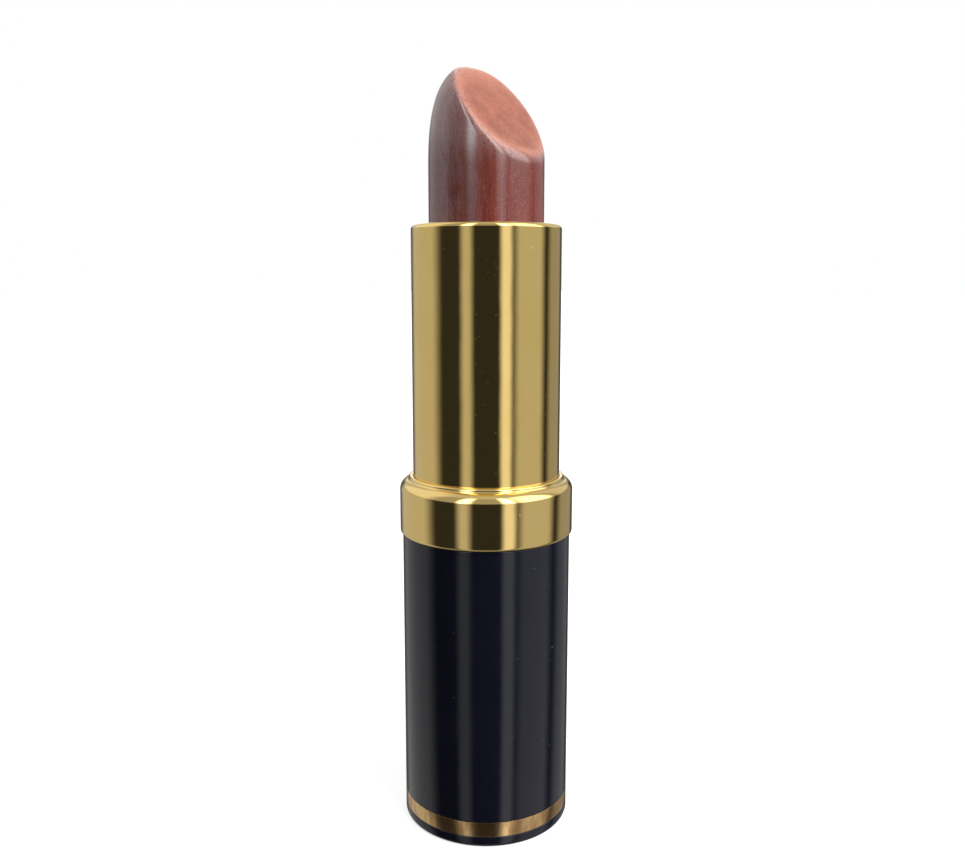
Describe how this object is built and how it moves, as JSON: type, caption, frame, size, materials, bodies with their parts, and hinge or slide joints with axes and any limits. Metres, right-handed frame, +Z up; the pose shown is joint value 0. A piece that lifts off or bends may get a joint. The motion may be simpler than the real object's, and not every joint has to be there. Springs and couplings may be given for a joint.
{
  "type": "lipstick case",
  "caption": "Uncapped twist-up lipstick: dark glossy round base, metal collar and sleeve, and a slant-cut bullet that rises on a helical cam.",
  "frame": {"origin": "centre of the foot's standing plane, on the turning axis", "axes": "+Z up the turning axis to the bullet's tip; the bullet's slanted face looks towards +X and -Y"},
  "size_m": [0.02, 0.02, 0.087],
  "materials": {
    "dark_gloss_plastic": "navy black, high gloss",
    "band_gold": "gold anodised, softly polished",
    "polished_gold": "gold anodised, mirror polished",
    "label_film": "satin film, blank",
    "white_plastic": "moulded, satin",
    "steel": "turned",
    "silicone": "soft matt",
    "lipstick_wax": "brown-red wax with fine pearl shimmer"
  },
  "bodies": {
    "base": {"base_shell": "dark_gloss_plastic", "base_band": "band_gold", "base_foot": "dark_gloss_plastic", "shade_label": "label_film", "base_liner": "white_plastic", "base_weight": "steel", "collar": "polished_gold", "inner_body": "white_plastic", "drag_ring": "silicone"},
    "sleeve": {"upper_sleeve": "polished_gold", "cam_sleeve": "white_plastic"},
    "carrier": {"carrier_cup": "white_plastic", "lipstick_bullet": "lipstick_wax"}
  },
  "joints": [
    {"name": "sleeve_twist", "type": "hinge", "parent": "base", "child": "sleeve", "pos_m": [0, 0, 0], "axis": [0, 0, 1], "range_deg": [-167.15, 480.86]},
    {"name": "carrier_slide", "type": "slide", "parent": "base", "child": "carrier", "axis": [0, 0, 1], "range_m": [-0.0187, 0.0065]}
  ],
  "couplings": [
    {"joint": "sleeve_twist", "follows": "carrier_slide", "rad_per_m": -448.8}
  ]
}
